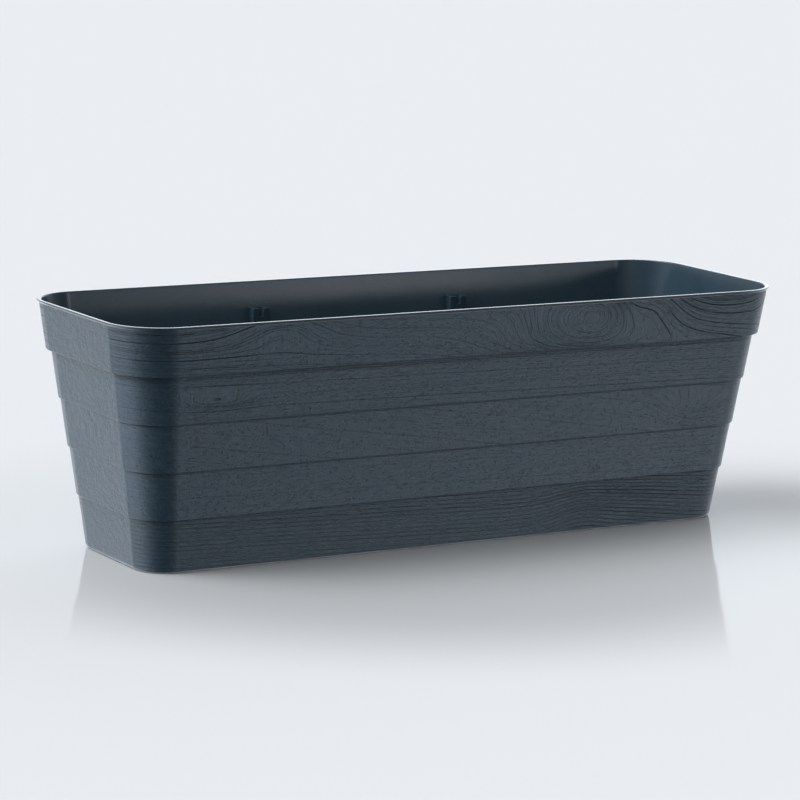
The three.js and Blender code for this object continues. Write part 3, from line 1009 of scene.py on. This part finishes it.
def board_material(board, top, seam, seed, knot, grain, skin):
    """One board's embossed plastic, under the board whose lower edge is at a height."""
    material, nodes, shader, point = new_material(board.name)
    split = nodes.add("SeparateXYZ")
    nodes.feed(split.inputs[0], point)
    slow = nodes.noise(point, **SLOW_SWAY)
    quick = nodes.noise(point, **QUICK_SWAY)
    sway = nodes.math("MULTIPLY_ADD", quick, QUICK_SHARE, slow)
    up = board.up / (10 * MM)
    along = board.along / (100 * MM)
    start = board.start - board.middle * MM * up - SWAY_MIDDLE
    rings = nodes.math("MULTIPLY_ADD", split.outputs["Z"], up, start)
    rings = nodes.math("MULTIPLY_ADD", split.outputs["X"], along, rings)
    rings = nodes.math("MULTIPLY_ADD", sway, SWAY, rings)
    lie = {"Rings": rings, "Slope": (along, 0, up)}
    for spot in board.knots:
        lie = nodes.group(
            knot, Rings=lie["Rings"], Slope=lie["Slope"], Point=point, **place_of(spot),
        )
    sides = nodes.add("SeparateXYZ")
    nodes.feed(sides.inputs[0], nodes.vector("ABSOLUTE", point))
    end = nodes.math("SUBTRACT", sides.outputs["X"], sides.outputs["Y"])
    end = nodes.math("MULTIPLY_ADD", sides.outputs["Z"], -CORNER_GROWTH, end)
    end = nodes.ramp(end, END_EDGE - END_BLEND, END_EDGE)
    depth = nodes.math("MULTIPLY_ADD", end, END_GRAIN - 1, 1.0)
    for spot in board.figures:
        depth = nodes.group(knot, Rings=depth, Point=point, **place_of(spot))["Rings"]
    wood = nodes.group(
        grain, Point=point, Rings=lie["Rings"], Slope=lie["Slope"], Seed=seed,
        Ring_Depth=nodes.math("MULTIPLY", depth, board.ring_depth * MM),
        Fine_Depth=nodes.math("MULTIPLY", depth, board.fine_depth * MM),
        Fibre_Depth=FIBRE_DEPTH, Speck_Depth=nodes.math("MULTIPLY", end, END_SPECKS),
    )
    plastic = nodes.group(skin, Point=point, Peel=PEEL_DEPTH, Clouds=CLOUDINESS)
    color = nodes.mix_color(nodes.ramp(plastic["Cloud"], *CLOUD_RANGE), SHELL_DEEP, SHELL_BLUE)
    color = nodes.mix_color(nodes.math("MULTIPLY", wood["Fibre"], FIBRE_TINT), color, SHELL_PALE)
    color = nodes.mix_color(nodes.math("MULTIPLY", wood["Pore"], PORE_TINT), color, SHELL_DEEP)
    # Painted shade: the colour darkens in the grooves by their strength, standing in for the shade
    # that falls in them
    shade = nodes.math("MULTIPLY", wood["Ring"], board.ring_depth / DEEPEST_RING)
    shade = nodes.math("MULTIPLY", shade, depth, clamp=True)
    color = nodes.mix_color(shade, color, GROOVE_SHADE_TONE)
    nodes.feed(shader["Base Color"], color)
    nodes.feed(shader["Specular IOR Level"], SHELL_GLOSS)
    rough = nodes.math("MULTIPLY_ADD", plastic["Cloud"], BOARD_ROUGH_SPREAD, BOARD_ROUGH)
    nodes.feed(shader["Roughness"], nodes.math("MULTIPLY_ADD", shade, GROOVE_ROUGH, rough))
    height = nodes.math("ADD", wood["Height"], plastic["Height"])
    seam_width, seam_depth = seam
    below = nodes.math("SUBTRACT", top, split.outputs["Z"])
    sunk = nodes.ramp(below, 0.0, seam_width, -seam_depth, 0.0, kind="LINEAR")
    side = nodes.math("SUBTRACT", 1.0, end)
    height = nodes.math("MULTIPLY_ADD", sunk, side, height)
    nodes.feed(shader["Normal"], bump(nodes, height))
    return material


# ---------------------------------------------------------------- floor and light

FLOOR_PALE = (0.728, 0.706, 0.680, 1)
BACKDROP_PALE = (0.823, 0.855, 0.888, 1)
LIGHT_COOL = (0.935, 1.0, 1.08, 1)
FLOOR_RADIUS = 14
GLOSS_MIDDLE = (0.0, 0.0, 0.0)
GLOSS_RADIUS = 0.47
GLOSS_FADE = 0.2
GLOSS_SHARE = 0.34
GLOSS_GREY = (0.34, 0.34, 0.34, 1)
FLOOR_ROUGH = 0.08

# The room's soft boxes: where each stands, as a turn from the back towards the right and a rise
# in degrees, how narrow it is, and how bright. The low ones stand in for the light that the
# pale floor throws up at the box, which has no other light from it.
SOFTBOXES = {
    "left_high": (285, 50, 14, 8.8),
    "left_low": (285, -35, 9, 4.0),
    "front_high": (190, 35, 9, 0.8),
    "front_strip": (149.8, 4.0, 1400, 10.0),
    "front_low": (136.5, -25, 27, 3.5),
    "right_low": (85, -25, 5, 1.2),
    "back": (342, -16, 6, 1.35),
    "back_low": (10, -35, 9, 1.6),
    "back_right": (60, 20, 9, 1.9),
    "back_strip": (31, 11, 25, 1.7),
}


def make_floor():
    """A pale matt floor that mirrors the box a little, close to it."""
    bm = bmesh.new()
    bmesh.ops.create_circle(bm, cap_ends=True, segments=FLOOR_STEPS, radius=FLOOR_RADIUS)
    floor = new_piece("floor", bm)
    material = bpy.data.materials.new("pale_floor")
    material.use_nodes = True
    material.node_tree.nodes.clear()
    nodes = Nodes(material.node_tree)
    point = nodes.add("TexCoord").outputs["Object"]
    away = nodes.vector("DISTANCE", point, GLOSS_MIDDLE, out="Value")
    share = nodes.ramp(away, GLOSS_RADIUS - GLOSS_FADE, GLOSS_RADIUS, GLOSS_SHARE, 0.0)
    matt = nodes.add("BsdfDiffuse")
    matt.inputs["Color"].default_value = FLOOR_PALE
    gloss = nodes.add("BsdfGlossy")
    gloss.inputs["Color"].default_value = GLOSS_GREY
    gloss.inputs["Roughness"].default_value = FLOOR_ROUGH
    mix = nodes.add("MixShader")
    nodes.feed(mix.inputs[0], share)
    nodes.feed(mix.inputs[1], matt.outputs[0])
    nodes.feed(mix.inputs[2], gloss.outputs[0])
    output = nodes.add("OutputMaterial")
    nodes.feed(output.inputs["Surface"], mix.outputs[0])
    floor.data.materials.append(material)
    floor.visible_glossy = False
    floor.visible_diffuse = False


def softbox_group():
    """Adds a soft round light that stands far off in one direction."""
    tree, nodes, given, made = new_group(
        "softbox",
        {"Light": "Float", "Direction": "Vector", "Towards": "Vector", "Narrowness": "Float",
         "Brightness": "Float"},
        {"Light": "Float"},
    )
    facing = nodes.vector("DOT_PRODUCT", given["Direction"], given["Towards"], out="Value")
    fall = nodes.math("MULTIPLY", nodes.math("SUBTRACT", facing, 1.0), given["Narrowness"])
    fall = nodes.math("EXPONENT", fall)
    lit = nodes.math("MULTIPLY_ADD", fall, given["Brightness"], given["Light"])
    nodes.feed(made["Light"], lit)
    return tree


def make_room():
    """Soft boxes all round as one world, which the camera sees as a plain pale background."""
    world = bpy.data.worlds.new("room")
    bpy.context.scene.world = world
    world.use_nodes = True
    world.node_tree.nodes.clear()
    nodes = Nodes(world.node_tree)
    softbox = softbox_group()
    direction = nodes.add("TexCoord").outputs["Generated"]
    lit = 0.0
    for turn, rise, narrowness, brightness in SOFTBOXES.values():
        turn, rise = math.radians(turn), math.radians(rise)
        towards = (
            math.sin(turn) * math.cos(rise), math.cos(turn) * math.cos(rise), math.sin(rise),
        )
        lit = nodes.group(
            softbox, Light=lit, Direction=direction, Towards=towards, Narrowness=narrowness,
            Brightness=brightness,
        )["Light"]
    light = nodes.add("Background")
    light.inputs["Color"].default_value = LIGHT_COOL
    nodes.feed(light.inputs["Strength"], lit)
    pale = nodes.add("Background")
    pale.inputs["Color"].default_value = BACKDROP_PALE
    mix = nodes.add("MixShader")
    nodes.feed(mix.inputs[0], nodes.add("LightPath").outputs["Is Camera Ray"])
    nodes.feed(mix.inputs[1], light.outputs[0])
    nodes.feed(mix.inputs[2], pale.outputs[0])
    output = nodes.add("OutputWorld")
    nodes.feed(output.inputs["Surface"], mix.outputs[0])


# ---------------------------------------------------------------- the scene

make_camera()
make_room()
make_floor()
bpy.context.scene.view_settings.view_transform = "Standard"

skin = moulded_skin_group()
knot = knot_group()
grain = wood_grain_group(groove_group())
inside_tones = (INSIDE_BLUE, SHELL_DEEP, SHELL_PALE)
inside = moulded_plastic("shell_plastic", skin, inside_tones, INSIDE_ROUGH, INSIDE_PEEL_DEPTH)
boards = [
    board_material(board, TOPS[i], SEAMS[i], SEED_STEP * i, knot, grain, skin)
    for i, board in enumerate(BOARDS)
]
plate_tones = (PLATE_GREY, PLATE_DEEP, SHELL_PALE)
plate_plastic = moulded_plastic("plate_plastic", skin, plate_tones, PLATE_ROUGH)
plug_tones = (PLUG_BLACK, PLUG_BLACK, PLUG_DUST)
plug_rubber = moulded_plastic("plug_rubber", skin, plug_tones, PLUG_ROUGH)

make_shell([inside, *boards])
make_socket("hanger_socket_left", "socket_left", inside)
make_socket("hanger_socket_right", "socket_right", inside)
make_plate(plate_plastic)
for place, *_ in drain_places():
    make_plug(f"drain_plug_{place}", f"plug_{place}", f"plug_{place}", plug_rubber)
